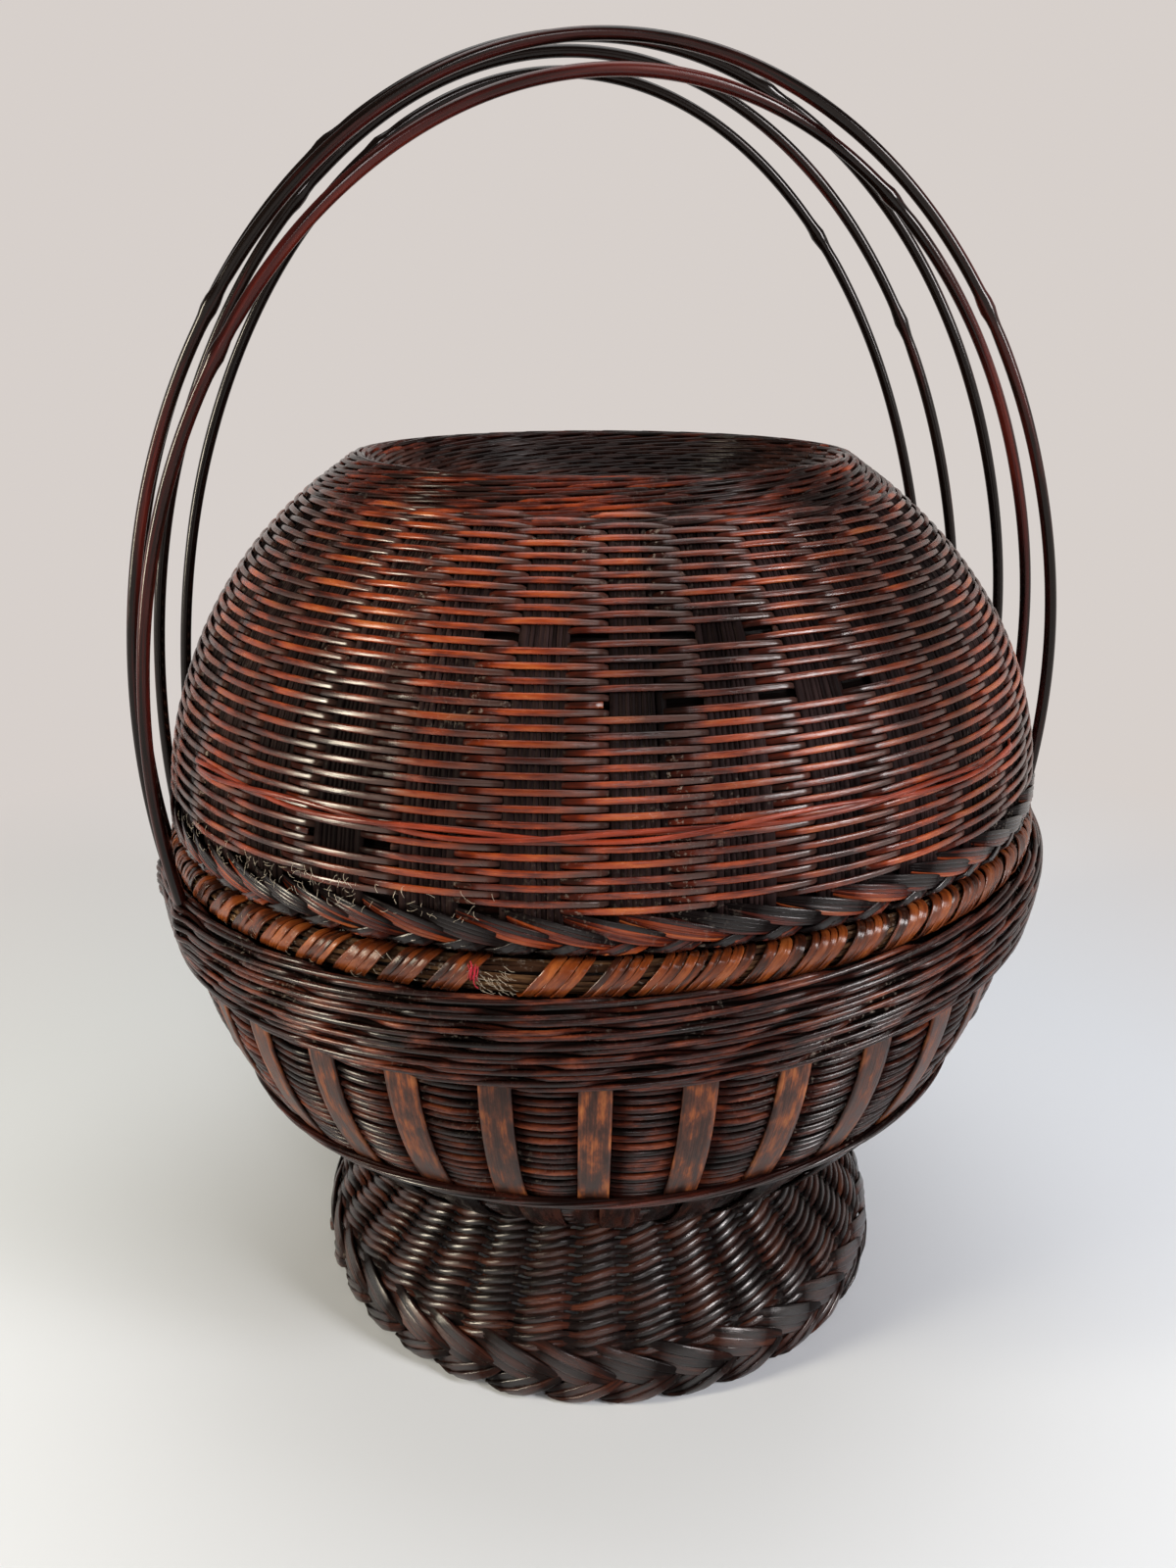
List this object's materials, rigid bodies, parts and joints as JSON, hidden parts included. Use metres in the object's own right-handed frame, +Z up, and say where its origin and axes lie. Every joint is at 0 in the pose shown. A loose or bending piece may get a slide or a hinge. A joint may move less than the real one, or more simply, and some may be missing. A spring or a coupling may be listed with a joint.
{
  "type": "lidded bamboo basket",
  "caption": "Round woven bamboo basket on a flared foot, with a domed lift-off lid, a lashed rim and a high arched handle of bent canes.",
  "frame": {"origin": "on the ground under the middle of the foot", "axes": "+Z up, the way the lid lifts; the handle arches along X; the pictured side faces about 15 degrees to the -X side of -Y"},
  "size_m": [0.25, 0.2482, 0.3366],
  "materials": {
    "woven_cane": "dark lacquered split bamboo weave, mahogany where it is rubbed, satin",
    "dark_cane": "near black lacquered split bamboo, satin",
    "bamboo_slat": "flat bamboo slats, brown lacquer worn to orange",
    "plaited_edge": "plaited split cane, dark lacquer",
    "split_cane_lashing": "glossy orange brown split cane",
    "lacquered_cane": "round bamboo canes, black to dark red lacquer, glossy",
    "red_cane": "thin red brown canes, glossy"
  },
  "bodies": {
    "basket": {"bowl_wall": "woven_cane", "bowl_base": "dark_cane", "foot_wall": "dark_cane", "foot_border": "plaited_edge", "slat_01": "bamboo_slat", "slat_02": "bamboo_slat", "slat_03": "bamboo_slat", "slat_04": "bamboo_slat", "slat_05": "bamboo_slat", "slat_06": "bamboo_slat", "slat_07": "bamboo_slat", "slat_08": "bamboo_slat", "slat_09": "bamboo_slat", "slat_10": "bamboo_slat", "slat_11": "bamboo_slat", "slat_12": "bamboo_slat", "slat_13": "bamboo_slat", "slat_14": "bamboo_slat", "slat_15": "bamboo_slat", "slat_16": "bamboo_slat", "slat_17": "bamboo_slat", "slat_18": "bamboo_slat", "slat_19": "bamboo_slat", "slat_20": "bamboo_slat", "slat_21": "bamboo_slat", "slat_22": "bamboo_slat", "slat_23": "bamboo_slat", "slat_24": "bamboo_slat", "slat_25": "bamboo_slat", "slat_26": "bamboo_slat", "slat_27": "bamboo_slat", "slat_28": "bamboo_slat", "slat_29": "bamboo_slat", "slat_30": "bamboo_slat", "slat_31": "bamboo_slat", "slat_32": "bamboo_slat", "slat_33": "bamboo_slat", "slat_tie_ring": "dark_cane", "twined_band": "woven_cane", "rim_hoop_outer": "bamboo_slat", "rim_hoop_inner": "bamboo_slat", "rim_lashing": "split_cane_lashing", "handle_cane_1": "lacquered_cane", "handle_cane_2": "lacquered_cane", "handle_cane_3": "lacquered_cane", "handle_cane_4": "lacquered_cane", "handle_cane_5": "lacquered_cane"},
    "lid": {"lid_dome": "woven_cane", "lid_edge_braid": "plaited_edge", "lid_top_roll": "plaited_edge", "lid_well": "dark_cane", "lid_collar": "dark_cane", "lid_float_cane_1": "red_cane", "lid_float_cane_2": "red_cane"}
  },
  "joints": [
    {"name": "lid_lift", "type": "slide", "parent": "basket", "child": "lid", "axis": [0, 0, 1], "range_m": [0, 0.03]}
  ]
}
